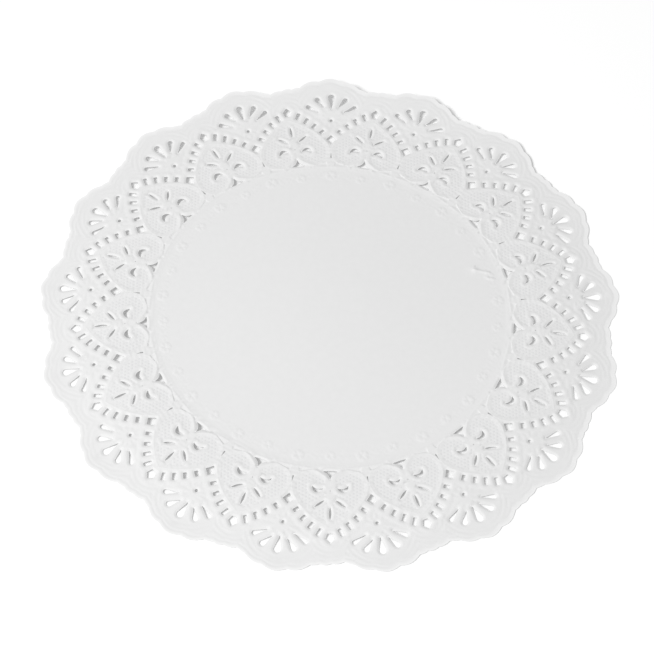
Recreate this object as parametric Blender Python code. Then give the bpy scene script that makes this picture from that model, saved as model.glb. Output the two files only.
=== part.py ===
"""A round paper lace doily, 305 mm across, lying flat: one die-cut sheet in seventeen equal repeats.

A repeat is a fan under a large scallop, and the half of a heart on either side of it. The axis of the
first fan points along +Y. Lengths are in metres. A place in a repeat is given as (across, out): across is
to the right of an axis, seen from above, and out is the distance from the doily's centre along it.
"""

import math
from collections import namedtuple

import bpy

OBJECT_NAME = "paper_lace_doily"
SHEET_NAME = "doily_sheet"

REPEATS = 17
REPEAT_TURN = 2.0 * math.pi / REPEATS
HEART_TURN = REPEAT_TURN / 2.0  # the hearts stand half way between the fans
SHEET_THICKNESS = 0.001

PAPER_COLOUR = (0.80, 0.80, 0.81, 1.0)
PAPER_ROUGHNESS = 0.85

# The scalloped edge, clockwise through one repeat. A lobe starts at a dip, so many degrees past the fan's
# axis and so far from the centre, and bulges outwards on its way to the next dip.
Lobe = namedtuple("Lobe", "start_degrees start_radius bulge steps")
LOBES = (
    Lobe(-2.60, 0.1504, 0.0021, 5),
    Lobe(2.30, 0.1502, 0.0012, 4),
    Lobe(6.00, 0.1466, 0.0002, 2),
    Lobe(7.75, 0.1450, 0.0006, 3),
    Lobe(10.30, 0.1460, 0.0007, 3),
    Lobe(12.58, 0.1463, 0.0003, 2),
    Lobe(14.28, 0.1470, 0.0016, 5),
)

# The five petals of a fan: a round head drawn out to a point that looks at the fan's centre.
Teardrop = namedtuple("Teardrop", "head_across head_out tail_across tail_out width mirrored")
TEARDROPS = (
    Teardrop(0.0, 0.1407, 0.0, 0.1332, 0.0037, False),
    Teardrop(0.0078, 0.1389, 0.0037, 0.1341, 0.0030, True),
    Teardrop(0.0129, 0.1343, 0.0065, 0.1312, 0.0025, True),
)
HEAD_STEPS = 7

# The rungs' gaps along a heart's shoulders, those over 4 mm long, counted from the pentagon.
Slot = namedtuple("Slot", "across out length width turn_degrees")
SLOTS = (
    Slot(0.0054, 0.1293, 0.0044, 0.0021, 60.0),
    Slot(0.0095, 0.1257, 0.0041, 0.0021, 52.0),
)

# The three leaves inside a heart: narrow slits, pointed at both ends.
Leaf = namedtuple("Leaf", "tip_across tip_out root_across root_out width mirrored")
LEAVES = (
    Leaf(0.0, 0.1230, 0.0, 0.1157, 0.0012, False),
    Leaf(0.0080, 0.1159, 0.0027, 0.1120, 0.0012, True),
)
LEAF_STEPS = 2

# The crescent over each eye of a heart: a full round arc and a flatter one over the same chord.
CRESCENT_ENDS = ((0.0034, 0.1053), (0.0091, 0.1038))
CRESCENT_RISE = 0.0032
CRESCENT_WIDTH = 0.0021
CRESCENT_ROUND = 0.6
CRESCENT_STEPS = 4

PENTAGON = ((0.0, 0.1353), (0.0024, 0.1328), (0.0014, 0.1299), (-0.0014, 0.1299), (-0.0024, 0.1328))
KITE = ((0.0, 0.1160), (0.0028, 0.1133), (0.0, 0.1099), (-0.0028, 0.1133))

# The three-cornered gap under a heart's notch: its two upper sides are hollow, its base swells a little.
Side = namedtuple("Side", "start_across start_out swell")
NOTCH_SIDES = (
    Side(0.0, 0.1003, -0.0008),
    Side(0.0037, 0.0957, 0.0002),
    Side(-0.0037, 0.0957, -0.0008),
)
NOTCH_STEPS = 3


def between(start, end, share):
    """The point that lies so far along the line from start to end."""
    return (start[0] + (end[0] - start[0]) * share, start[1] + (end[1] - start[1]) * share)


def bowed_line(start, end, bow, steps, power=1.0):
    """Points from start up to, but without, end, bowed by bow to the left of the way they run.

    The bow follows a sine raised to the power: below one, it leaves its ends steeply and has a round top.
    """
    length = math.dist(start, end)
    left = ((start[1] - end[1]) / length, (end[0] - start[0]) / length)
    points = []
    for step in range(steps):
        share = step / steps
        height = bow * math.sin(math.pi * share) ** power
        across, out = between(start, end, share)
        points.append((across + left[0] * height, out + left[1] * height))
    return points


def teardrop_outline(row):
    """A circle of the head's width, and the two lines that touch it and meet at the tail."""
    radius = row.width / 2.0
    run = (row.tail_across - row.head_across, row.tail_out - row.head_out)
    tail_angle = math.atan2(run[1], run[0])
    opening = math.acos(radius / math.hypot(*run))
    sweep = 2.0 * (math.pi - opening)
    points = [(row.tail_across, row.tail_out)]
    for step in range(HEAD_STEPS + 1):
        angle = tail_angle + opening + sweep * step / HEAD_STEPS
        points.append((row.head_across + radius * math.cos(angle), row.head_out + radius * math.sin(angle)))
    return points


def leaf_outline(row):
    """Two equal bows from tip to root and back."""
    tip = (row.tip_across, row.tip_out)
    root = (row.root_across, row.root_out)
    bow = row.width / 2.0
    return bowed_line(tip, root, bow, LEAF_STEPS + 1) + bowed_line(root, tip, bow, LEAF_STEPS + 1)


def slot_outline(row):
    """An oblong about its middle, turned anticlockwise."""
    turn = math.radians(row.turn_degrees)
    points = []
    for along, aside in ((-1, -1), (1, -1), (1, 1), (-1, 1)):
        x = along * row.length / 2.0
        y = aside * row.width / 2.0
        across = row.across + x * math.cos(turn) - y * math.sin(turn)
        out = row.out + x * math.sin(turn) + y * math.cos(turn)
        points.append((across, out))
    return points


def crescent_outline():
    """An outer bow over the chord, and a flatter one back below it."""
    inner_end, outer_end = CRESCENT_ENDS
    upper = bowed_line(inner_end, outer_end, CRESCENT_RISE, CRESCENT_STEPS + 1, CRESCENT_ROUND)
    lower = bowed_line(outer_end, inner_end, CRESCENT_WIDTH - CRESCENT_RISE, CRESCENT_STEPS + 1)
    return upper + lower


def notch_outline():
    """Three corners joined by bowed sides."""
    points = []
    for side, following in zip(NOTCH_SIDES, NOTCH_SIDES[1:] + NOTCH_SIDES[:1]):
        start = (side.start_across, side.start_out)
        end = (following.start_across, following.start_out)
        points += bowed_line(start, end, side.swell, NOTCH_STEPS)
    return points


def with_mirror(outline):
    """The outline and its mirror image across the axis."""
    return [outline, [(-across, out) for across, out in outline]]


def fan_holes():
    """The gaps on a fan's axis: the petals, and the kite below them."""
    holes = [list(KITE)]
    for row in TEARDROPS:
        outline = teardrop_outline(row)
        holes += with_mirror(outline) if row.mirrored else [outline]
    return holes


def heart_holes():
    """The gaps on a heart's axis: the pentagon, slots, leaves, crescents and the notch."""
    holes = [list(PENTAGON), notch_outline()]
    for row in LEAVES:
        outline = leaf_outline(row)
        holes += with_mirror(outline) if row.mirrored else [outline]
    for row in SLOTS:
        holes += with_mirror(slot_outline(row))
    return holes + with_mirror(crescent_outline())


def turned(outline, turn):
    """The outline carried from (across, out) to X and Y, its axis turned clockwise from +Y."""
    sine, cosine = math.sin(turn), math.cos(turn)
    return [(across * cosine + out * sine, out * cosine - across * sine) for across, out in outline]


def scalloped_edge():
    """The outer edge, lobe by lobe and repeat by repeat."""
    points = []
    for repeat in range(REPEATS):
        for lobe, following in zip(LOBES, LOBES[1:] + LOBES[:1]):
            start = math.radians(lobe.start_degrees)
            end = math.radians(following.start_degrees)
            if end < start:
                end += REPEAT_TURN
            for step in range(lobe.steps):
                share = step / lobe.steps
                angle = repeat * REPEAT_TURN + start + (end - start) * share
                base = lobe.start_radius + (following.start_radius - lobe.start_radius) * share
                radius = base + lobe.bulge * math.sin(math.pi * share)
                points.append((radius * math.sin(angle), radius * math.cos(angle)))
    return points


def add_loop(curve, points):
    """One closed polyline; a loop inside another is a hole in a filled 2D curve."""
    spline = curve.splines.new("POLY")
    spline.points.add(len(points) - 1)
    for target, (x, y) in zip(spline.points, points):
        target.co = (x, y, 0.0, 1.0)
    spline.use_cyclic_u = True


def paper_material():
    """Uncoated white paper."""
    material = bpy.data.materials.new("white_paper")
    material.use_nodes = True
    shader = material.node_tree.nodes["Principled BSDF"]
    shader.inputs["Base Color"].default_value = PAPER_COLOUR
    shader.inputs["Roughness"].default_value = PAPER_ROUGHNESS
    shader.inputs["Metallic"].default_value = 0.0
    return material


def doily_sheet():
    """The whole doily as one filled outline with its holes, extruded to the sheet's thickness."""
    curve = bpy.data.curves.new(SHEET_NAME, "CURVE")
    curve.dimensions = "2D"
    curve.fill_mode = "BOTH"
    curve.extrude = SHEET_THICKNESS / 2.0
    add_loop(curve, scalloped_edge())
    for repeat in range(REPEATS):
        turn = repeat * REPEAT_TURN
        for outline in fan_holes():
            add_loop(curve, turned(outline, turn))
        for outline in heart_holes():
            add_loop(curve, turned(outline, turn + HEART_TURN))
    curve.materials.append(paper_material())
    sheet = bpy.data.objects.new(SHEET_NAME, curve)
    sheet.location = (0.0, 0.0, SHEET_THICKNESS / 2.0)
    return sheet


def clear_scene():
    for item in list(bpy.data.objects):
        bpy.data.objects.remove(item, do_unlink=True)


def main():
    clear_scene()
    parts = bpy.data.collections.new(OBJECT_NAME)
    bpy.context.scene.collection.children.link(parts)
    parts.objects.link(doily_sheet())


main()
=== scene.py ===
"""The looks of a round paper lace doily: one sheet of thin white paper, die-cut and pressed in relief.

The doily lies on the floor with its pressed side up, and the axis of its first fan points along +Y. Its own
sizes are in millimetres. A place in a repeat is given as (across, out): across is to the right of an axis,
seen from above, and out is the distance from the doily's centre along it.
"""

from collections import namedtuple

import bpy
import numpy as np
from mathutils import Matrix, Vector
from mathutils.geometry import delaunay_2d_cdt


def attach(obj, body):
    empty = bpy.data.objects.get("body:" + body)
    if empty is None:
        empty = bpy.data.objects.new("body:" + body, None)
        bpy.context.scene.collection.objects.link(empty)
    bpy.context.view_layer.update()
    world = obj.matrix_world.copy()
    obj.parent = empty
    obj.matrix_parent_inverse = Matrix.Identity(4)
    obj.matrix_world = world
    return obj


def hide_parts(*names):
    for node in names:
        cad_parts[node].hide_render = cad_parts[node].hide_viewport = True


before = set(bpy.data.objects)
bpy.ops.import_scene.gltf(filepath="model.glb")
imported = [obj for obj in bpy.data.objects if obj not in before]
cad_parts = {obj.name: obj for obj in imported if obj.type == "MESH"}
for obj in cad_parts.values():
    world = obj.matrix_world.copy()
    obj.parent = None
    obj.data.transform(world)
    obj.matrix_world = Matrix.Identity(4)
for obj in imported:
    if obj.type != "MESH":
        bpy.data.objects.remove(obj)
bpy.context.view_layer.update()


# ---------------------------------------------------------------------------------------------------------
# The doily is one sheet of thin white paper. First its cut lines: steel rules in a die cut the scalloped edge
# and punch every gap in one stroke. Of seventeen equal repeats, each has a fan of five petals under its large
# scallop, and half of a heart to either side of it.
# ---------------------------------------------------------------------------------------------------------

MM = 0.001
REPEATS = 17
REPEAT_TURN = 2.0 * np.pi / REPEATS
HEART_TURN = REPEAT_TURN / 2.0  # the hearts stand half way between the fans
CUT_SPACING = 1.0  # the most between the points that are added along an outline's side

# The edge, clockwise through one repeat. A lobe starts at a dip, so many degrees past the fan's axis and so
# far from the centre, and bulges outwards on its way to the next dip.
Lobe = namedtuple("Lobe", "start_degrees start_radius bulge")
LOBES = (
    Lobe(-2.60, 150.4, 2.1),
    Lobe(2.30, 150.2, 1.2),
    Lobe(6.00, 146.6, 0.2),
    Lobe(7.75, 145.0, 0.6),
    Lobe(10.30, 146.0, 0.7),
    Lobe(12.58, 146.3, 0.3),
    Lobe(14.28, 147.0, 1.6),
)
LOBE_STEPS = 7

# The five petals of a fan, on its axis and to the right of it: a round head drawn out to a point.
Teardrop = namedtuple("Teardrop", "head_across head_out tail_across tail_out width")
TEARDROPS = (
    Teardrop(0.0, 140.7, 0.0, 133.2, 3.7),
    Teardrop(7.8, 138.9, 3.7, 134.1, 3.0),
    Teardrop(12.9, 134.3, 6.5, 131.2, 2.5),
)
HEAD_STEPS = 11

# The gaps between the rungs along a heart's shoulder, from the pentagon down to the kite.
Slot = namedtuple("Slot", "across out length width turn_degrees")
SLOTS = (
    Slot(5.4, 129.3, 4.4, 2.1, 60.0),
    Slot(9.5, 125.7, 4.1, 2.1, 52.0),
    Slot(13.3, 121.7, 3.5, 2.1, 43.0),
    Slot(16.8, 117.1, 3.3, 2.1, 32.0),
)
SLOT_STEPS = 16
SLOT_SQUARENESS = 0.3  # 1 would be an ellipse, 0 an oblong with sharp corners

Leaf = namedtuple("Leaf", "tip_across tip_out root_across root_out width")
LEAVES = (
    Leaf(0.0, 123.0, 0.0, 115.7, 1.2),
    Leaf(8.0, 115.9, 2.7, 112.0, 1.2),
)

# The crescent over each eye of a heart: a full round arc and a flatter one over the same chord.
CRESCENT_ENDS = ((3.4, 105.3), (9.1, 103.8))
CRESCENT_RISE = 3.2
CRESCENT_WIDTH = 2.1
CRESCENT_ROUND = 0.6

PENTAGON = ((0.0, 135.3), (2.4, 132.8), (1.4, 129.9), (-1.4, 129.9), (-2.4, 132.8))
KITE = ((0.0, 116.0), (2.8, 113.3), (0.0, 109.9), (-2.8, 113.3))

# The three-cornered gap under a heart's notch: its upper sides are hollow, its base swells a little.
NOTCH_CORNERS = ((0.0, 100.3), (3.7, 95.7), (-3.7, 95.7))
NOTCH_SWELLS = (-0.8, 0.2, -0.8)
CURVE_STEPS = 8

# The smallest cuts: a round dot in each fan, a slit below the kite, and a pinhole inside each heart.
DOT_MIDDLE = (0.0, 126.0)
DOT_RADIUS = 0.9
DOT_STEPS = 12
SLIT = Teardrop(0.0, 100.4, 0.0, 103.8, 0.7)
PINHOLE = ((0.0, 107.4), (0.25, 107.0), (0.0, 106.6), (-0.25, 107.0))


def directions(angles):
    """Unit vectors at the angles, clockwise from +Y: (sin, cos)."""
    return np.stack([np.sin(angles), np.cos(angles)], axis=1)


def edge_radius(angle):
    """The edge's radius at each angle: a straight run from dip to dip, plus bulge * sin(pi * share)."""
    starts = np.radians([lobe.start_degrees for lobe in LOBES])
    ends = np.append(starts[1:], starts[0] + REPEAT_TURN)
    radii = np.array([lobe.start_radius for lobe in LOBES])
    bulges = np.array([lobe.bulge for lobe in LOBES])
    within = (angle - starts[0]) % REPEAT_TURN + starts[0]
    lobe = np.clip(np.searchsorted(starts, within, side="right") - 1, 0, len(LOBES) - 1)
    share = (within - starts[lobe]) / (ends[lobe] - starts[lobe])
    rise = np.roll(radii, -1)[lobe] - radii[lobe]
    return radii[lobe] + rise * share + bulges[lobe] * np.sin(np.pi * share)


def walked(outline, spacing=CUT_SPACING):
    """The closed outline, with points added at equal steps along each side."""
    corners = np.asarray(outline, dtype=float)
    sides = np.roll(corners, -1, axis=0) - corners
    counts = np.ceil(np.hypot(sides[:, 0], sides[:, 1]) / spacing).astype(int)
    first = np.repeat(np.cumsum(counts) - counts, counts)
    share = (np.arange(counts.sum()) - first) / np.repeat(counts, counts)
    return np.repeat(corners, counts, axis=0) + np.repeat(sides, counts, axis=0) * share[:, None]


def bowed(start, end, bow, power=1.0):
    """From start up to, but without, end: the line, plus bow * sin(pi * share) ^ power to its left."""
    start, end = np.array(start), np.array(end)
    share = (np.arange(CURVE_STEPS) / CURVE_STEPS)[:, None]
    run = end - start
    left = np.array([-run[1], run[0]]) / np.hypot(*run)
    return start + run * share + left * bow * np.sin(np.pi * share) ** power


def teardrop_outline(row):
    """A circle of the head's width, and the two lines that touch it and meet at the tail."""
    radius = row.width / 2.0
    run = np.array([row.tail_across - row.head_across, row.tail_out - row.head_out])
    opening = np.arccos(radius / np.hypot(*run))
    angle = np.arctan2(run[1], run[0]) + np.linspace(opening, 2.0 * np.pi - opening, HEAD_STEPS)
    across = row.head_across + radius * np.cos(angle)
    out = row.head_out + radius * np.sin(angle)
    return np.vstack([[row.tail_across, row.tail_out], np.stack([across, out], axis=1)])


def leaf_outline(row):
    """Two equal bows from tip to root and back."""
    tip, root = (row.tip_across, row.tip_out), (row.root_across, row.root_out)
    return np.vstack([bowed(tip, root, row.width / 2.0), bowed(root, tip, row.width / 2.0)])


def slot_outline(row):
    """A rounded oblong: each of cos and sin raised to the squareness, times half a side, then turned."""
    angle = 2.0 * np.pi * (np.arange(SLOT_STEPS) + 0.5) / SLOT_STEPS
    x = np.sign(np.cos(angle)) * np.abs(np.cos(angle)) ** SLOT_SQUARENESS * row.length / 2.0
    y = np.sign(np.sin(angle)) * np.abs(np.sin(angle)) ** SLOT_SQUARENESS * row.width / 2.0
    turn = np.radians(row.turn_degrees)
    across = row.across + x * np.cos(turn) - y * np.sin(turn)
    return np.stack([across, row.out + x * np.sin(turn) + y * np.cos(turn)], axis=1)


def crescent_outline():
    """A round bow over the chord, and a flatter one back below it."""
    inner, outer = CRESCENT_ENDS
    upper = bowed(inner, outer, CRESCENT_RISE, CRESCENT_ROUND)
    return np.vstack([upper, bowed(outer, inner, CRESCENT_WIDTH - CRESCENT_RISE)])


def notch_outline():
    """Three corners joined by bowed sides."""
    following = NOTCH_CORNERS[1:] + NOTCH_CORNERS[:1]
    return np.vstack([bowed(a, b, swell) for a, b, swell in zip(NOTCH_CORNERS, following, NOTCH_SWELLS)])


def turned(outline, turn):
    """The outline carried from (across, out) to X and Y, its axis turned clockwise from +Y."""
    across, out = outline[:, 0], outline[:, 1]
    x = across * np.cos(turn) + out * np.sin(turn)
    return np.stack([x, out * np.cos(turn) - across * np.sin(turn)], axis=1)


def with_mirror(outline):
    """The outline, and its mirror image where it lies to one side of the axis."""
    if outline[:, 0].min() < 0.0:
        return [outline]
    return [outline, outline * (-1.0, 1.0)]


def around(outlines, turn=0.0):
    """Every outline and its mirror image, in each of the repeats."""
    whole = [image for outline in outlines for image in with_mirror(outline)]
    return [turned(image, turn + k * REPEAT_TURN) for k in range(REPEATS) for image in whole]


# Every gap of half a repeat, on its axis or to the right of it.
petals = [walked(teardrop_outline(row)) for row in TEARDROPS]
dot = DOT_MIDDLE + DOT_RADIUS * directions(2.0 * np.pi * np.arange(DOT_STEPS) / DOT_STEPS)
kite = walked(KITE)
slit = walked(teardrop_outline(SLIT))
slots = [slot_outline(row) for row in SLOTS]
leaves = [walked(leaf_outline(row)) for row in LEAVES]
pentagon = walked(PENTAGON)
crescent = walked(crescent_outline())
notch = walked(notch_outline())
pinhole = walked(PINHOLE)

# The paper bends down at the wider gaps alone: the slit and the pinhole are too fine to draw it down.
wide_fan_gaps = petals + [dot, kite]
wide_heart_gaps = slots + leaves + [pentagon, crescent, notch]
fan_gaps = wide_fan_gaps + [slit]
heart_gaps = wide_heart_gaps + [pinhole]

lobe_ends = [lobe.start_degrees for lobe in LOBES[1:]] + [LOBES[0].start_degrees + 360.0 / REPEATS]
lobe_angles = np.concatenate([
    np.linspace(np.radians(lobe.start_degrees), np.radians(end), LOBE_STEPS, endpoint=False)
    for lobe, end in zip(LOBES, lobe_ends)
])
edge_angles = (lobe_angles + REPEAT_TURN * np.arange(REPEATS)[:, None]).ravel()
edge_loop = edge_radius(edge_angles)[:, None] * directions(edge_angles)
cut_loops = [edge_loop] + around(fan_gaps) + around(heart_gaps, HEART_TURN)


# ---------------------------------------------------------------------------------------------------------
# The doily's pressed relief. Two plates, one raised and one hollow, press the damp paper as it is cut: it
# dips into every gap, ridges frame hearts and ladders, fine dimples fill the hearts, waves follow the edge.
# ---------------------------------------------------------------------------------------------------------

# A ridge, or a groove where its height is below 0, that runs at a distance from a cut line or a point. A
# fade is a pair of distances, between which a form comes or goes.
Ridge = namedtuple("Ridge", "height distance half_width")

REACH = 8.0  # no gap or frame shapes the paper further away than this

# The lace's levels over the plain paper in the middle. Hearts, ladders and all that lies within the raised
# radius share the ridges' level, and the border beyond them is lower.
RIDGE_LEVEL = 0.22
BORDER_LEVEL = 0.14
BORDER_FADE = (0.4, 2.2)
LADDER_HALF = 1.6  # how far a ladder's raised level reaches past its slots
RAISED_RADIUS = 110.0
LACE_FADE = (93.0, 94.4)
LACE_INNER = 92.5

# Round the wider gaps the paper bends down to the level of the cut.
GAP_LEVEL = -0.26
WELL_WIDTH = 1.4

# Under each fan, where two hearts meet the ring, the paper dips to either side of the axis. A fine groove
# runs out from each lower corner of a notch.
DIP_LEVEL = -0.08
DIP_SLOPE = 0.8
DIP_FADE = (93.8, 96.4)
CORNER_DIP = ((1.0, 93.4), (2.3, 97.6), (9.4, 94.9), (9.2, 93.4))
NOTCH_TAIL = ((3.5, 95.7), (6.5, 94.5))
TAIL_GROOVE = Ridge(-0.20, 0.0, 0.55)

# The hearts: half of the line that the net's frame follows, from the tip round to the notch.
HEART_LINE = (
    (0.0, 126.8), (4.2, 124.2), (8.2, 121.2), (12.0, 117.8), (15.2, 113.6), (17.6, 109.2), (18.5, 104.8),
    (17.9, 100.8), (15.9, 97.8), (12.8, 96.0), (9.4, 95.4), (6.2, 96.4), (3.2, 98.8), (0.0, 102.0),
)
HEART_LINE_SPACING = 2.0
HEART_RIDGE = Ridge(0.09, 0.5, 0.45)
CRESCENT_RIDGE = Ridge(0.07, 1.9, 0.8)
NOTCH_RIDGE = Ridge(0.12, 2.0, 1.0)
NOTCH_FADE = (94.5, 96.5)
HEART_MIDDLE = (0.0, 111.5)
HEART_HUMP = Ridge(0.10, 0.0, 2.8)
STEM_GROOVE = Ridge(-0.06, 0.0, 0.5)
STEM_START_FADE = (99.5, 101.5)
STEM_END_FADE = (107.0, 109.0)

# The net of dimples fills what the plain frames leave of a heart: a frame's line and its half width.
HALF_RIDGE = 1.3
LEAF_FRAME = 1.9
CRESCENT_FRAME = 2.3
NOTCH_FRAME = 3.0
STEM = ((0.0, 100.0), (0.0, 111.5))
STEM_HALF = 2.4
SIDE_BRIDGE = ((8.1, 115.7), (11.8, 117.8))
TIP_BRIDGE = ((0.0, 123.5), (0.0, 126.8))
BRIDGE_HALF = 1.25
NET_PITCH = 1.95
NET_DEPTH = 0.09
DIMPLE_POWER = 1.5  # above 1, it draws the dimples in and widens what stands between them
NET_FADE = (-0.5, 0.5)
NET_LEVEL = 0.5  # of the height of the frames round it

# The ladders: a ridge along each row of slots, and a groove beside it.
LADDER_RIDGE = Ridge(0.05, 2.0, 0.8)
LADDER_GROOVE = Ridge(-0.05, 3.7, 1.1)
LADDER_FADE = (1.0, 3.0)
GROOVE_FADE = (12.0, 17.0)

# The fans: a low cone, a lip round each petal, and rays that run between the petals.
FAN_CENTRE = (0.0, 130.4)
FAN_RISE = 0.18
FAN_FADE = (1.0, 12.0)
FAN_LADDER_FADE = (2.0, 4.5)
PETAL_LIP = Ridge(0.08, 1.7, 0.7)
LIP_FADE = (9.0, 14.0)
RAY_CENTRE = (0.0, 127.8)
RAY_TURN = np.radians(33.0)
RAY_HEIGHT = -0.07  # on a petal's axis; the rays between the petals stand up as far
RAY_START_FADE = (2.5, 5.0)
RAY_END_FADE = (8.0, 14.0)
RAY_LADDER_FADE = (2.5, 4.0)
RAY_PETAL_FADE = (0.6, 1.6)

# The border: a raised rim, a groove and a ridge inside it, and ripples that arch over fans and pentagons.
RIM_HEIGHT = 0.14
RIM_FADE = (1.0, 2.8)
RIM_GROOVE = Ridge(-0.03, 2.6, 0.5)
RIM_RIDGE = Ridge(0.06, 4.0, 0.8)
ARCH_HEIGHT = 0.045
ARCH_PITCH = 2.6
ARCH_PENTAGON = (0.0, 130.0)
ARCH_START = 7.5  # the arches over a pentagon are this much smaller than those over a fan
ARCH_FADE = (13.0, 15.0)
ARCH_EDGE_FADE = (2.5, 4.5)
ARCH_GAP_FADE = (1.0, 2.5)


def ramp(x, low, high):
    """0 below low, 1 above high, and the smooth step 3t^2 - 2t^3 between them."""
    t = np.clip((x - low) / (high - low), 0.0, 1.0)
    return t * t * (3.0 - 2.0 * t)


def fade(x, low, high):
    """1 below low, 0 above high, and one minus the smooth step between them."""
    return 1.0 - ramp(x, low, high)


def ridge(x, shape):
    """A round ridge: height * exp(-((x - distance) / half_width)^2)."""
    return shape.height * np.exp(-(((x - shape.distance) / shape.half_width) ** 2))


def folded(angle, radius, turn):
    """The place in its own half repeat: (distance from the nearest axis, distance out along it)."""
    off_axis = angle - turn
    off_axis = off_axis - REPEAT_TURN * np.round(off_axis / REPEAT_TURN)
    return np.abs(radius * np.sin(off_axis)), radius * np.cos(off_axis)


def from_point(place, point):
    """Distance to a point."""
    return np.hypot(place[0] - point[0], place[1] - point[1])


def from_line(place, ends):
    """Distance to the straight line between two ends."""
    (ax, ay), (bx, by) = ends
    px, py = place[0] - ax, place[1] - ay
    share = np.clip((px * (bx - ax) + py * (by - ay)) / ((bx - ax) ** 2 + (by - ay) ** 2), 0.0, 1.0)
    return np.hypot(px - share * (bx - ax), py - share * (by - ay))


def signed_distance(across, out, outline):
    """Distance to the outline's nearest side, negative inside, where a line to the right crosses it oddly."""
    ax, ay = outline[:, 0], outline[:, 1]
    bx, by = np.roll(ax, -1), np.roll(ay, -1)
    px, py = across[:, None] - ax, out[:, None] - ay
    share = np.clip((px * (bx - ax) + py * (by - ay)) / ((bx - ax) ** 2 + (by - ay) ** 2), 0.0, 1.0)
    distance = np.hypot(px - share * (bx - ax), py - share * (by - ay)).min(axis=1)
    spans = (ay <= out[:, None]) != (by <= out[:, None])
    rise = np.where(by == ay, 1.0, by - ay)
    right = across[:, None] < ax + py / rise * (bx - ax)
    inside = (spans & right).sum(axis=1) % 2 == 1
    return np.where(inside, -distance, distance)


def nearest(place, outlines):
    """The least signed distance to any of the outlines, cut off at REACH."""
    across, out = place
    least = np.full(across.shape, REACH)
    for outline in outlines:
        low, high = outline.min(axis=0) - REACH, outline.max(axis=0) + REACH
        near = (across > low[0]) & (across < high[0]) & (out > low[1]) & (out < high[1])
        least[near] = np.minimum(least[near], signed_distance(across[near], out[near], outline))
    return least


heart_line = np.array(HEART_LINE)
heart_line = walked(np.vstack([heart_line, heart_line[-2:0:-1] * (-1.0, 1.0)]), HEART_LINE_SPACING)
corner_dip = walked(CORNER_DIP)


def net_distance(x, y):
    """Signed distance to the hearts' nets, negative inside: what the frames leave of each heart."""
    place = folded(np.arctan2(x, y), np.hypot(x, y), HEART_TURN)
    net = nearest(place, [heart_line]) + HALF_RIDGE
    net = np.maximum(net, LEAF_FRAME - nearest(place, leaves))
    net = np.maximum(net, CRESCENT_FRAME - nearest(place, [crescent]))
    net = np.maximum(net, NOTCH_FRAME - nearest(place, [notch]))
    net = np.maximum(net, STEM_HALF - from_line(place, STEM))
    net = np.maximum(net, BRIDGE_HALF - from_line(place, SIDE_BRIDGE))
    return np.maximum(net, BRIDGE_HALF - from_line(place, TIP_BRIDGE))


NET_ROW = 4.0 * np.pi / (np.sqrt(3.0) * NET_PITCH)  # radians a millimetre, across the rows of dimples
NET_WAVES = [(NET_ROW * np.cos(turn), NET_ROW * np.sin(turn)) for turn in np.radians((0.0, 60.0, 120.0))]


def net_dimples(x, y):
    """1 in a dimple's middle: three cosine waves 60 degrees apart add up to 3 there, and to -1.5 between."""
    total = sum(np.cos(across * x + along * y) for across, along in NET_WAVES)
    return np.maximum((total + 1.5) / 4.5, 0.0) ** DIMPLE_POWER


def gap_distance(x, y):
    """Signed distance to the nearest gap, negative inside it."""
    angle, radius = np.arctan2(x, y), np.hypot(x, y)
    fan, heart = folded(angle, radius, 0.0), folded(angle, radius, HEART_TURN)
    return np.minimum(nearest(fan, fan_gaps), nearest(heart, heart_gaps))


def fan_relief(fan, ladder):
    """A cone round the fan's centre, a lip along the petals, and a cosine of the turn for the rays."""
    from_fan, petal = from_point(fan, FAN_CENTRE), nearest(fan, petals)
    height = FAN_RISE * fade(from_fan, *FAN_FADE) * ramp(ladder, *FAN_LADDER_FADE)
    height += ridge(petal, PETAL_LIP) * fade(from_fan, *LIP_FADE)
    away = from_point(fan, RAY_CENTRE)
    ray = np.arctan2(fan[0] - RAY_CENTRE[0], fan[1] - RAY_CENTRE[1])
    shown = ramp(away, *RAY_START_FADE) * fade(away, *RAY_END_FADE)
    shown = shown * ramp(ladder, *RAY_LADDER_FADE) * ramp(petal, *RAY_PETAL_FADE)
    return height + RAY_HEIGHT * np.cos(2.0 * np.pi * ray / RAY_TURN) * shown


def heart_relief(heart):
    """Ridges over the crescents and the notch, a hump in the heart's middle, and a groove down its stem."""
    across, out = heart
    height = ridge(nearest(heart, [crescent]), CRESCENT_RIDGE)
    height += ridge(nearest(heart, [notch]), NOTCH_RIDGE) * ramp(out, *NOTCH_FADE)
    height += ridge(from_point(heart, HEART_MIDDLE), HEART_HUMP)
    return height + ridge(across, STEM_GROOVE) * ramp(out, *STEM_START_FADE) * fade(out, *STEM_END_FADE)


def border_relief(fan, heart, inward, gap):
    """A raised rim with its groove and ridge, and a cosine wave of the distance from fan or pentagon."""
    height = RIM_HEIGHT * fade(inward, *RIM_FADE) + ridge(inward, RIM_GROOVE) + ridge(inward, RIM_RIDGE)
    arches = np.minimum(from_point(fan, FAN_CENTRE), from_point(heart, ARCH_PENTAGON) + ARCH_START)
    shown = ramp(arches, *ARCH_FADE) * ramp(inward, *ARCH_EDGE_FADE) * ramp(gap, *ARCH_GAP_FADE)
    return height + ARCH_HEIGHT * np.cos(2.0 * np.pi * arches / ARCH_PITCH) * shown


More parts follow.
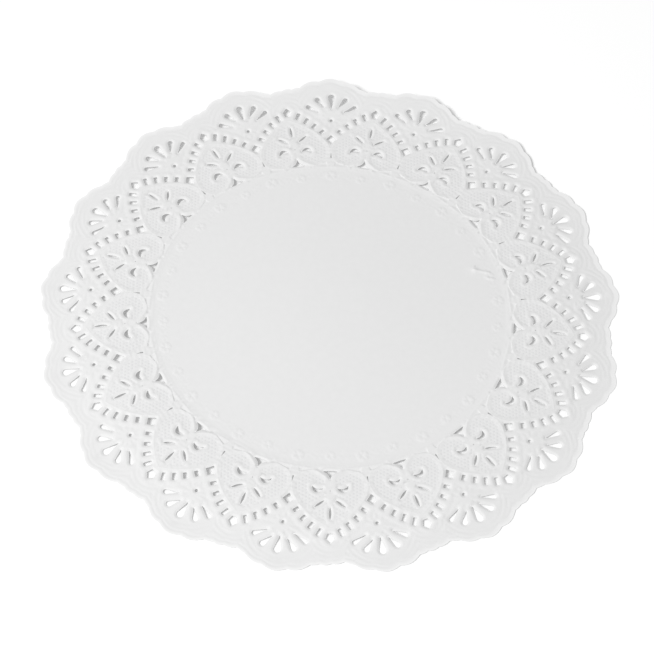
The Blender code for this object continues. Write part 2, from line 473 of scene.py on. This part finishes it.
def lace_relief(x, y):
    """Height of the lace: its levels and ridges added up, halved and dimpled in nets, bent down at gaps."""
    angle, radius = np.arctan2(x, y), np.hypot(x, y)
    fan, heart = folded(angle, radius, 0.0), folded(angle, radius, HEART_TURN)
    ladder = np.minimum(nearest(heart, slots + [pentagon]), nearest(fan, [kite]))
    heart_side = nearest(heart, [heart_line])
    gap = np.minimum(nearest(fan, wide_fan_gaps), nearest(heart, wide_heart_gaps))
    inward = edge_radius(angle) - radius

    beyond = np.minimum(np.minimum(heart_side, ladder - LADDER_HALF), radius - RAISED_RADIUS)
    height = BORDER_LEVEL + (RIDGE_LEVEL - BORDER_LEVEL) * fade(beyond, *BORDER_FADE)
    height += ridge(heart_side, HEART_RIDGE)
    outside = ramp(heart_side, *LADDER_FADE)
    height += ridge(ladder, LADDER_RIDGE) * outside
    height += ridge(ladder, LADDER_GROOVE) * outside * fade(from_point(fan, FAN_CENTRE), *GROOVE_FADE)
    height += fan_relief(fan, ladder) + heart_relief(heart) + border_relief(fan, heart, inward, gap)

    net = ramp(-net_distance(x, y), *NET_FADE)
    height -= net * ((1.0 - NET_LEVEL) * height + NET_DEPTH * net_dimples(x, y))
    height += ridge(from_line(heart, NOTCH_TAIL), TAIL_GROOVE)
    dipped = fade(nearest(fan, [corner_dip]), -DIP_SLOPE, 0.0) * ramp(radius, *DIP_FADE)
    height += (DIP_LEVEL - height) * dipped
    well = 1.0 - np.clip(gap / WELL_WIDTH, 0.0, 1.0)
    height += (GAP_LEVEL - height) * well**2
    return height * ramp(radius, *LACE_FADE)


# The pressed band inside the lace: a ring, a wreath of six-petalled rosettes, and sprigs between them.
BAND_RING = Ridge(0.10, 92.8, 0.8)
Rosette = namedtuple("Rosette", "turn out size")
ROSETTES = (Rosette(0.0, 88.2, 1.0), Rosette(HEART_TURN, 87.0, 0.85))
ROSETTE_PETAL_TURN = np.pi / 3.0
ROSETTE_PETAL_OUT = 2.0
ROSETTE_PETAL = Ridge(0.11, 0.0, 0.8)
ROSETTE_DISC = 0.07
ROSETTE_FADE = (2.7, 3.5)
ROSETTE_EYE = Ridge(-0.14, 0.0, 0.55)
SPRIG_BAND = Ridge(0.04, 87.8, 3.2)
SPRIG_WAVE = 1.9  # this and the next in radians a millimetre
SPRIG_CURL = 1.1
SPRIG_SWAY = 0.9
SPRIG_CLEAR = 1.4  # how soon the sprigs stand up to either side of a rosette

# Handling has left one short crease with a blunt end, and a smaller one beside it.
CREASE = ((76.0, 27.5), (83.4, 26.0))
SECOND_CREASE = ((83.0, 22.6), (86.0, 21.8))
CREASE_RIDGE = Ridge(0.30, 0.0, 0.8)
CREASE_END = Ridge(0.45, 0.0, 1.8)
SECOND_CREASE_RIDGE = Ridge(0.22, 0.0, 0.8)


def rosette_relief(across, along):
    """Six round petals on a low disc, with a hollow eye."""
    away, around_it = np.hypot(across, along), np.arctan2(across, along)
    off_petal = around_it - ROSETTE_PETAL_TURN * np.round(around_it / ROSETTE_PETAL_TURN)
    from_petal = np.hypot(away * np.cos(off_petal) - ROSETTE_PETAL_OUT, away * np.sin(off_petal))
    disc = ROSETTE_DISC * fade(away, *ROSETTE_FADE)
    return disc + ridge(from_petal, ROSETTE_PETAL) + ridge(away, ROSETTE_EYE)


def band_relief(x, y):
    """Height of the band: its ring, the rosettes, and two crossed cosine waves that sway, for the sprigs."""
    angle, radius = np.arctan2(x, y), np.hypot(x, y)
    height = ridge(radius, BAND_RING)
    for turn, out, size in ROSETTES:
        across, along = folded(angle, radius, turn)
        height += size * rosette_relief(across / size, (along - out) / size)
    one = np.cos(SPRIG_WAVE * x + SPRIG_SWAY * np.sin(SPRIG_CURL * y))
    other = np.cos(SPRIG_WAVE * y + SPRIG_SWAY * np.sin(SPRIG_CURL * x))
    clear = np.minimum(np.abs(np.sin(REPEATS * angle)) * SPRIG_CLEAR, 1.0)
    return height + one * other * clear * ridge(radius, SPRIG_BAND)


def crease_relief(x, y):
    """Height of the two creases, each a ridge along its line, the first with a round blunt end."""
    height = ridge(from_line((x, y), CREASE), CREASE_RIDGE) + ridge(from_point((x, y), CREASE[0]), CREASE_END)
    return height + ridge(from_line((x, y), SECOND_CREASE), SECOND_CREASE_RIDGE)


# The paper doesn't lie quite flat: it is a low dome that leans a little and curls up at its far side.
DOME_HEIGHT = 4.5
DOME_FALL = 1.7
DOME_FADE = (10.0, 100.0)
RIM_FALL = 2.6
RIM_FALL_FADE = (108.0, 152.0)
RIM_KEPT = 0.8  # the share of the rim's fall that the far side is spared
CURL_TURN = np.radians(-8.0)  # of the middle of the curl, clockwise from +Y
CURL_POWER = 5
CURL_HEIGHT = 4.4
CURL_FADE = (120.0, 158.0)
LEAN = 0.5 / 110.0  # half a millimetre over 110
LEAN_WAY = (0.81, 0.59)
LEAN_KEPT = 0.7  # the share of the lean that the rim is spared


def lift(x, y):
    """How far the paper arches up from the floor: a smooth dome, less its lean, plus the far side's curl."""
    angle, radius = np.arctan2(x, y), np.hypot(x, y)
    far = (0.5 + 0.5 * np.cos(angle - CURL_TURN)) ** CURL_POWER
    at_rim = ramp(radius, *RIM_FALL_FADE)
    dome = DOME_HEIGHT - DOME_FALL * ramp(radius, *DOME_FADE) - RIM_FALL * (1.0 - RIM_KEPT * far) * at_rim
    lean = LEAN * (LEAN_WAY[0] * x + LEAN_WAY[1] * y) * (1.0 - LEAN_KEPT * at_rim)
    return dome - lean + CURL_HEIGHT * far * ramp(radius, *CURL_FADE)


def paper_height(x, y):
    """Height of the paper before it is set down on the floor: the lift and all the relief."""
    total = lift(x, y) + band_relief(x, y) + crease_relief(x, y)
    lace = np.hypot(x, y) > LACE_INNER
    total[lace] += lace_relief(x[lace], y[lace])
    return total


# ---------------------------------------------------------------------------------------------------------
# The doily's sheet, as thick as the paper: one closed mesh of its top, its underside and the cut walls
# between them. The cut lines are edges of both faces, and points crowd where the relief is finest.
# ---------------------------------------------------------------------------------------------------------

PAPER_THICKNESS = 0.16
UNDER_SLACK = 0.10  # the coarse underside hangs lower between the cuts, and so stays under the top
SLOPE_STEP = 0.1  # a slope is the rise over this distance
SAME_POINT = 1e-6  # points nearer than this would be taken for one

# The radii at which one pattern of points gives way to another.
FINE_INNER = 74.0
MIDDLE_OUTER = 82.0
BAND_INNER = 83.0
BAND_OUTER = 92.0
NET_INNER = 93.0
NET_OUTER = 128.0
BORDER_INNER = 131.0
EDGE_MIDDLE = 146.0  # between the edge's dips and its lobes

# Rows of points that follow a gap, the edge, a heart's frame or a dip, each so far from it.
GAP_RINGS = (0.35, 0.9, 1.5)
EDGE_RINGS = (0.7, 1.3, 2.1, 3.0, 4.0, 5.0)
FRAME_RINGS = (-0.1, 0.2, 0.5, 0.8, 1.2)
DIP_RINGS = (0.0, -DIP_SLOPE / 2.0, -DIP_SLOPE)
RING_SHARE = 0.93  # a ring's point goes where another gap is nearer than this share of the ring's distance

# How far apart points stand.
FRAME_SPACING = 1.1
FINE_SPACING = 0.58
BORDER_SPACING = 1.0
TOP_SPACING = 1.25
UNDER_SPACING = 2.6
MIDDLE_SPACING = 4.0
TOP_CELL = 0.45  # of the points in one such square, the first is kept
UNDER_CELL = 0.6

# How far points reach from a form, or keep clear of it.
ROSETTE_REACH = 3.8
CREASE_REACH = 2.6
NET_OVERLAP = 0.1
NET_CLEAR = 0.45
FRAME_CLEAR = 0.6
UNDER_CLEAR = 1.0


def radius_of(points):
    """Distance from the doily's centre."""
    return np.hypot(points[:, 0], points[:, 1])


def inside_edge(points):
    """How far each point lies inside the scalloped edge, measured along its radius."""
    return edge_radius(np.arctan2(points[:, 0], points[:, 1])) - radius_of(points)


def shoelace(outline):
    """Twice the outline's area, below 0 where it runs clockwise: the sum of x1 * y2 - x2 * y1."""
    following = np.roll(outline, -1, axis=0)
    return (outline[:, 0] * following[:, 1] - following[:, 0] * outline[:, 1]).sum()


def beside_outlines(outlines, distances):
    """The outlines' points, moved outwards by each distance along the corners' bisectors."""
    moved = []
    for outline in outlines:
        along = np.roll(outline, -1, axis=0) - np.roll(outline, 1, axis=0)
        outwards = np.stack([along[:, 1], -along[:, 0]], axis=1) * np.sign(shoelace(outline))
        outwards /= radius_of(outwards)[:, None]
        moved += [outline + outwards * distance for distance in distances]
    return np.vstack(moved)


def clear_of_gaps(points, distance):
    """The points that lie further from every gap than the distance."""
    return points[gap_distance(*points.T) > distance]


def lattice(spacing, inner, outer):
    """Points of a three-cornered lattice between two radii."""
    reach = int(2.0 * outer / spacing) + 2
    i, j = np.meshgrid(np.arange(-reach, reach + 1), np.arange(-reach, reach + 1))
    points = np.stack([(i * np.sqrt(3.0) / 2.0).ravel(), (j + 0.5 * (i % 2)).ravel()], axis=1) * spacing
    radius = radius_of(points)
    return points[(radius > inner) & (radius < outer)]


def lace_points(spacing, clear):
    """Lattice points of the lace, clear of its gaps and of the rings along the edge."""
    points = lattice(spacing, BAND_OUTER, EDGE_MIDDLE)
    return clear_of_gaps(points[inside_edge(points) > EDGE_RINGS[-1] + spacing / 2.0], clear)


def edge_points(spacing, distances, clear):
    """Rings that follow the scalloped edge, so far inside it, clear of the gaps."""
    angles = np.linspace(0.0, 2.0 * np.pi, int(2.0 * np.pi * EDGE_MIDDLE / spacing), endpoint=False)
    rings = [(edge_radius(angles) - inward)[:, None] * directions(angles) for inward in distances]
    return clear_of_gaps(np.vstack(rings), clear)


def plain_points(spacing):
    """Lattice points of the band, and wider ones of the plain middle, with one at the very centre."""
    middle = lattice(MIDDLE_SPACING, -1.0, MIDDLE_OUTER)
    return np.vstack([lattice(spacing, BAND_INNER, BAND_OUTER), middle])


def pressed_points():
    """Fine lattice points of the rosettes and the creases."""
    fine = lattice(FINE_SPACING, FINE_INNER, BAND_OUTER)
    angle, radius = np.arctan2(fine[:, 0], fine[:, 1]), radius_of(fine)
    crease = np.minimum(from_line(fine.T, CREASE), from_line(fine.T, SECOND_CREASE))
    pressed = crease < CREASE_REACH
    for turn, out, size in ROSETTES:
        pressed |= from_point(folded(angle, radius, turn), (0.0, out)) < ROSETTE_REACH * size
    return fine[pressed]


def net_points():
    """Lattice points of the nets, three to a dimple each way, and rings along the hearts' frames."""
    net = lattice(NET_PITCH / 3.0, NET_INNER, NET_OUTER)
    frames = beside_outlines(around([walked(heart_line, FRAME_SPACING)], HEART_TURN), FRAME_RINGS)
    return np.vstack([clear_of_gaps(frames, FRAME_CLEAR), net[net_distance(*net.T) < NET_OVERLAP]])


def thinned(points, cell):
    """The first point in each square cell."""
    kept = np.unique(np.round(points / cell).astype(int), axis=0, return_index=True)[1]
    return points[np.sort(kept)]


def triangulated(points):
    """Delaunay triangles that keep to the cut lines, without those over a gap or beyond the edge."""
    starts = np.cumsum([0] + [len(loop) for loop in cut_loops])
    spans = zip(starts, starts[1:])
    following = np.concatenate([np.roll(np.arange(start, end), -1) for start, end in spans])
    lines = np.column_stack([np.arange(len(following)), following])
    # The 0 asks for every triangle, over the gaps too, and False for no record of where points came from.
    found = delaunay_2d_cdt(points.tolist(), lines.tolist(), [], 0, SAME_POINT, False)
    if len(found[0]) != len(points):
        raise RuntimeError(f"{len(points)} points became {len(found[0])}")
    triangles = np.array(found[2])
    middles = points[triangles].mean(axis=1)
    return triangles[(gap_distance(*middles.T) > 0.0) & (inside_edge(middles) > 0.0)]


def surface(points):
    """The height at each point, and the way the paper faces there: (-slope x, -slope y, 1) made unit long."""
    x, y = points.T
    here = paper_height(x, y)
    slope_x = (paper_height(x + SLOPE_STEP, y) - here) / SLOPE_STEP
    slope_y = (paper_height(x, y + SLOPE_STEP) - here) / SLOPE_STEP
    facing = np.stack([-slope_x, -slope_y, np.ones_like(here)], axis=1)
    return here, facing / np.linalg.norm(facing, axis=1)[:, None]


cut_points = np.vstack(cut_loops)
gap_rings = [clear_of_gaps(beside_outlines(cut_loops[1:], (ring,)), RING_SHARE * ring) for ring in GAP_RINGS]
dips = clear_of_gaps(beside_outlines(around([corner_dip]), DIP_RINGS), GAP_RINGS[0])
top_clear = GAP_RINGS[-1] + TOP_SPACING / 2.0
edge = edge_points(TOP_SPACING, EDGE_RINGS, top_clear)
lace = lace_points(TOP_SPACING, top_clear)
lace = lace[(net_distance(*lace.T) > NET_CLEAR) & (radius_of(lace) < BORDER_INNER)]
border = lace_points(BORDER_SPACING, top_clear)
border = border[radius_of(border) > BORDER_INNER]
top_inner = [*gap_rings, edge, dips, net_points(), lace, border, plain_points(TOP_SPACING), pressed_points()]
top_points = np.vstack([cut_points, thinned(np.vstack(top_inner), TOP_CELL)])
top_faces = triangulated(top_points)

under_edge = edge_points(UNDER_SPACING, EDGE_RINGS[1::2], UNDER_CLEAR)
under_lace = lace_points(UNDER_SPACING, UNDER_CLEAR)
under_inner = [under_edge, dips, under_lace, plain_points(UNDER_SPACING)]
under_points = np.vstack([cut_points, thinned(np.vstack(under_inner), UNDER_CELL)])
under_faces = triangulated(under_points)

top_height, top_facing = surface(top_points)
under_height, under_facing = surface(under_points)
under_height -= UNDER_SLACK * ramp(gap_distance(*under_points.T), 0.0, UNDER_CLEAR)
top_vertices = np.column_stack([top_points, top_height + PAPER_THICKNESS])
under_vertices = np.column_stack([under_points, under_height])
# The sheet is set down until its lowest point rests on the floor.
vertices = np.vstack([top_vertices, under_vertices]) - (0.0, 0.0, under_height.min())

# A side of a top triangle that no other triangle shares lies on a cut line, and carries two wall triangles.
first_under = len(top_points)
sides = np.vstack([top_faces[:, [0, 1]], top_faces[:, [1, 2]], top_faces[:, [2, 0]]])
there, back_again = sides[:, 0] * first_under + sides[:, 1], sides[:, 1] * first_under + sides[:, 0]
start, end = sides[~np.isin(there, back_again)].T
lower_walls = np.column_stack([start + first_under, end + first_under, end])
upper_walls = np.column_stack([start + first_under, end, start])
faces = np.vstack([top_faces, under_faces[:, ::-1] + first_under, lower_walls, upper_walls])

# Top and underside are shaded by the relief's own slopes, and the walls stay square to the cut.
run = top_points[end] - top_points[start]
out_of_wall = np.column_stack([run[:, 1], -run[:, 0], np.zeros(len(run))])
out_of_wall /= np.linalg.norm(out_of_wall, axis=1)[:, None]
corner_normals = np.vstack([
    top_facing[top_faces.ravel()],
    -under_facing[under_faces[:, ::-1].ravel()],
    np.repeat(np.vstack([out_of_wall, out_of_wall]), 3, axis=0),
])

sheet_mesh = bpy.data.meshes.new("paper_doily")
sheet_mesh.from_pydata((vertices * MM).tolist(), [], faces.tolist())
sheet_mesh.polygons.foreach_set("use_smooth", np.ones(len(faces), dtype=bool))
sheet_mesh.normals_split_custom_set(corner_normals.tolist())
sheet_mesh.update()
paper_doily = bpy.data.objects.new("paper_doily", sheet_mesh)
bpy.context.scene.collection.objects.link(paper_doily)

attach(paper_doily, "root")
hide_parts("doily_sheet")


# ---------------------------------------------------------------------------------------------------------
# The doily's finish: uncoated white paper, pressed between plates, which gives the eye a matt and nearly
# even tone. Painted shade makes it darker in the dimples, and a painted highlight makes it paler along its
# rim.
# ---------------------------------------------------------------------------------------------------------

PAPER_DARK = "#D4D4D4"
PAPER_LIGHT = "#D8D8D8"
# A painted highlight: the paper is paler along its rim.
PAPER_RIM_HIGHLIGHT = "#E1E1E1"
# Painted shade: the paper is darker in the net's dimples.
PAPER_DIMPLE_SHADE = "#CDCDCE"
PAPER_ROUGHNESS = 0.85
PAPER_IOR = 1.45  # near that of the fibres' cellulose
CLOUD_SIZE = 3.3  # paper's fibres gather in pale clouds, about this wide
FIBRE_SIZE = 0.55  # fibres are far finer, and are drawn this coarse so that they show
FIBRE_HEIGHT = 0.1
FIBRE_STRENGTH = 0.25
# How far in from the edge the painted highlight reaches, and how it fades.
RIM_HIGHLIGHT_WIDTH = 3.4
RIM_HIGHLIGHT_POWER = 1.5
# How the painted shade fills a dimple:
DIMPLE_SHADE_FADE = (0.7, 2.5)  # of the net's three waves, which add up to 3 in the middle of a dimple
NET_MASK_FADE = (-0.2, 0.5)


def linear(colour):
    """An sRGB hex colour as linear red, green, blue and alpha, by the sRGB curve's own constants."""
    channels = np.array([int(colour[i : i + 2], 16) for i in (1, 3, 5)]) / 255.0
    values = np.where(channels <= 0.04045, channels / 12.92, ((channels + 0.055) / 1.055) ** 2.4)
    return (*values.tolist(), 1.0)


def add_node(material, kind, settings=None, links=None):
    """A node of the kind, with values for its properties and inputs, and links from other nodes' outputs."""
    node = material.node_tree.nodes.new(kind)
    for name, value in (settings or {}).items():
        if isinstance(name, str) and name not in node.inputs:
            setattr(node, name, value)
        else:
            node.inputs[name].default_value = value
    for name, output in (links or {}).items():
        material.node_tree.links.new(output, node.inputs[name])
    return node


def set_attribute(mesh, name, values):
    """One number at each of the mesh's points, for the material to read."""
    mesh.attributes.new(name, "FLOAT", "POINT").data.foreach_set("value", values)


points = vertices[:, :2]
# The net attribute keeps the dimples' painted shade within the hearts' nets.
net_share = np.zeros(len(points))
outside = radius_of(points) > BAND_OUTER
net_share[outside] = ramp(-net_distance(*points[outside].T), *NET_MASK_FADE)
set_attribute(sheet_mesh, "net", net_share)
# The rim attribute carries the painted highlight: 1 at the edge, and 0 a few millimetres inside it.
set_attribute(sheet_mesh, "rim", (1.0 - np.clip(inside_edge(points) / RIM_HIGHLIGHT_WIDTH, 0.0, 1.0)) ** RIM_HIGHLIGHT_POWER)

paper = bpy.data.materials.new("uncoated_white_paper")
paper.use_nodes = True
paper.node_tree.nodes.clear()
object_place = add_node(paper, "ShaderNodeTexCoord").outputs["Object"]

# A mix node of colours has its two colours at inputs 6 and 7, and its result at output 2.
cloud_look = {"Scale": 1.0 / (CLOUD_SIZE * MM), "Detail": 3.0}
clouds = add_node(paper, "ShaderNodeTexNoise", cloud_look, {"Vector": object_place})
tone = add_node(
    paper, "ShaderNodeMix", {"data_type": "RGBA", 6: linear(PAPER_DARK), 7: linear(PAPER_LIGHT)},
    {"Factor": clouds.outputs["Fac"]},
)
# A painted highlight pales the paper along its rim.
rim_highlight_mask = add_node(paper, "ShaderNodeAttribute", {"attribute_name": "rim"})
rim_highlighted = add_node(
    paper, "ShaderNodeMix", {"data_type": "RGBA", 7: linear(PAPER_RIM_HIGHLIGHT)},
    {"Factor": rim_highlight_mask.outputs["Fac"], 6: tone.outputs[2]},
)

# The net's own three waves once more, so that the painted shade sits in the dimples as darker spots.
waves = []
for across, along in NET_WAVES:
    wave_way = {"operation": "DOT_PRODUCT", 1: (across / MM, along / MM, 0.0)}
    phase = add_node(paper, "ShaderNodeVectorMath", wave_way, {0: object_place})
    waves.append(add_node(paper, "ShaderNodeMath", {"operation": "COSINE"}, {0: phase.outputs["Value"]}))
total = waves[0]
for wave in waves[1:]:
    total = add_node(paper, "ShaderNodeMath", {"operation": "ADD"}, {0: total.outputs[0], 1: wave.outputs[0]})
dimples = add_node(
    paper, "ShaderNodeMapRange",
    {"interpolation_type": "SMOOTHSTEP", "From Min": DIMPLE_SHADE_FADE[0], "From Max": DIMPLE_SHADE_FADE[1]},
    {"Value": total.outputs[0]},
)
net_mask = add_node(paper, "ShaderNodeAttribute", {"attribute_name": "net"})
pressed = add_node(
    paper, "ShaderNodeMath", {"operation": "MULTIPLY"}, {0: dimples.outputs[0], 1: net_mask.outputs["Fac"]},
)
# Painted shade darkens the paper in the dimples.
dimple_shaded = add_node(
    paper, "ShaderNodeMix", {"data_type": "RGBA", 7: linear(PAPER_DIMPLE_SHADE)},
    {"Factor": pressed.outputs[0], 6: rim_highlighted.outputs[2]},
)

fibre_look = {"Scale": 1.0 / (FIBRE_SIZE * MM), "Detail": 4.0}
fibres = add_node(paper, "ShaderNodeTexNoise", fibre_look, {"Vector": object_place})
bump = add_node(
    paper, "ShaderNodeBump", {"Strength": FIBRE_STRENGTH, "Distance": FIBRE_HEIGHT * MM},
    {"Height": fibres.outputs["Fac"]},
)
shader = add_node(
    paper, "ShaderNodeBsdfPrincipled", {"Roughness": PAPER_ROUGHNESS, "IOR": PAPER_IOR},
    {"Base Color": dimple_shaded.outputs[2], "Normal": bump.outputs["Normal"]},
)
add_node(paper, "ShaderNodeOutputMaterial", {}, {"Surface": shader.outputs["BSDF"]})
sheet_mesh.materials.append(paper)


# ---------------------------------------------------------------------------------------------------------
# The floor: a wide sheet of matt white board, lit a little from below as a light table is, so that what
# shows through the gaps stays pale. Its sizes, and those of the light and the camera, are in metres.
# ---------------------------------------------------------------------------------------------------------

FLOOR_HALF = 10.0
FLOOR_TOP = -0.00003  # just under the paper, so that the two never share a plane
FLOOR_WHITE = "#E0E0E0"
FLOOR_GLOW = 0.18

square = np.array([(-1.0, -1.0), (1.0, -1.0), (1.0, 1.0), (-1.0, 1.0)]) * FLOOR_HALF
floor_mesh = bpy.data.meshes.new("floor")
corners = np.column_stack([square, np.full(len(square), FLOOR_TOP)])
floor_mesh.from_pydata(corners.tolist(), [], [(0, 1, 2, 3)])
floor = bpy.data.objects.new("floor", floor_mesh)
bpy.context.scene.collection.objects.link(floor)

# Pressed wood pulp with a dull painted face: no gloss at all.
board = bpy.data.materials.new("matt_white_board")
board.use_nodes = True
board_shader = board.node_tree.nodes["Principled BSDF"]
board_shader.inputs["Base Color"].default_value = linear(FLOOR_WHITE)
board_shader.inputs["Roughness"].default_value = 1.0
board_shader.inputs["Specular IOR Level"].default_value = 0.0
board_shader.inputs["Emission Color"].default_value = linear("#FFFFFF")
board_shader.inputs["Emission Strength"].default_value = FLOOR_GLOW
floor_mesh.materials.append(board)


# ---------------------------------------------------------------------------------------------------------
# The light: a round softbox to the left and a little in front, near enough for its light to fall off across
# the doily, in a soft white room.
# ---------------------------------------------------------------------------------------------------------

ROOM_STRENGTH = 0.54
SOFTBOX_AZIMUTH = np.radians(216.0)
SOFTBOX_ELEVATION = np.radians(51.0)
SOFTBOX_DISTANCE = 3.2
SOFTBOX_WIDTH = 1.1
SOFTBOX_WATTS = 85.4


def towards(azimuth, elevation):
    """The unit vector that points so far round from +X and so far up from the floor."""
    flat = np.cos(elevation)
    return np.array([flat * np.cos(azimuth), flat * np.sin(azimuth), np.sin(elevation)])


scene = bpy.context.scene
scene.view_settings.view_transform = "Standard"
room = bpy.data.worlds.new("soft_white_room")
room.use_nodes = True
room.node_tree.nodes["Background"].inputs["Color"].default_value = (1.0, 1.0, 1.0, 1.0)
room.node_tree.nodes["Background"].inputs["Strength"].default_value = ROOM_STRENGTH
scene.world = room

softbox_light = bpy.data.lights.new("softbox", "AREA")
softbox_light.shape = "DISK"
softbox_light.size = SOFTBOX_WIDTH
softbox_light.energy = SOFTBOX_WATTS
softbox = bpy.data.objects.new("softbox", softbox_light)
to_softbox = towards(SOFTBOX_AZIMUTH, SOFTBOX_ELEVATION)
softbox.location = to_softbox * SOFTBOX_DISTANCE
softbox.rotation_mode = "QUATERNION"
softbox.rotation_quaternion = Vector(to_softbox).to_track_quat("Z", "Y")
scene.collection.objects.link(softbox)


# ---------------------------------------------------------------------------------------------------------
# The camera: it looks down at the doily from the front, rolled a little to one side.
# ---------------------------------------------------------------------------------------------------------

VIEW_AZIMUTH = np.radians(-91.83)
VIEW_ELEVATION = np.radians(56.97)
VIEW_ROLL = np.radians(2.38)
VIEW_DISTANCE = 1.1939
VIEW_TARGET = (-0.00185, -0.0095, 0.0023)
IMAGE_PIXELS = 654
FOCAL_PIXELS = 2300.6  # the lens's focal length, in pixels of the picture
SENSOR_WIDTH = 36.0  # millimetres

back = towards(VIEW_AZIMUTH, VIEW_ELEVATION)
level_right = np.array([-np.sin(VIEW_AZIMUTH), np.cos(VIEW_AZIMUTH), 0.0])
level_up = np.cross(back, level_right)
camera_axes = np.eye(4)
camera_axes[:3, 0] = np.cos(VIEW_ROLL) * level_right + np.sin(VIEW_ROLL) * level_up
camera_axes[:3, 1] = np.cos(VIEW_ROLL) * level_up - np.sin(VIEW_ROLL) * level_right
camera_axes[:3, 2] = back
camera_axes[:3, 3] = np.array(VIEW_TARGET) + back * VIEW_DISTANCE

camera_data = bpy.data.cameras.new("camera")
camera_data.sensor_width = SENSOR_WIDTH
camera_data.lens = FOCAL_PIXELS / IMAGE_PIXELS * SENSOR_WIDTH
camera = bpy.data.objects.new("camera", camera_data)
camera.matrix_world = Matrix(camera_axes.tolist())
scene.collection.objects.link(camera)
scene.camera = camera
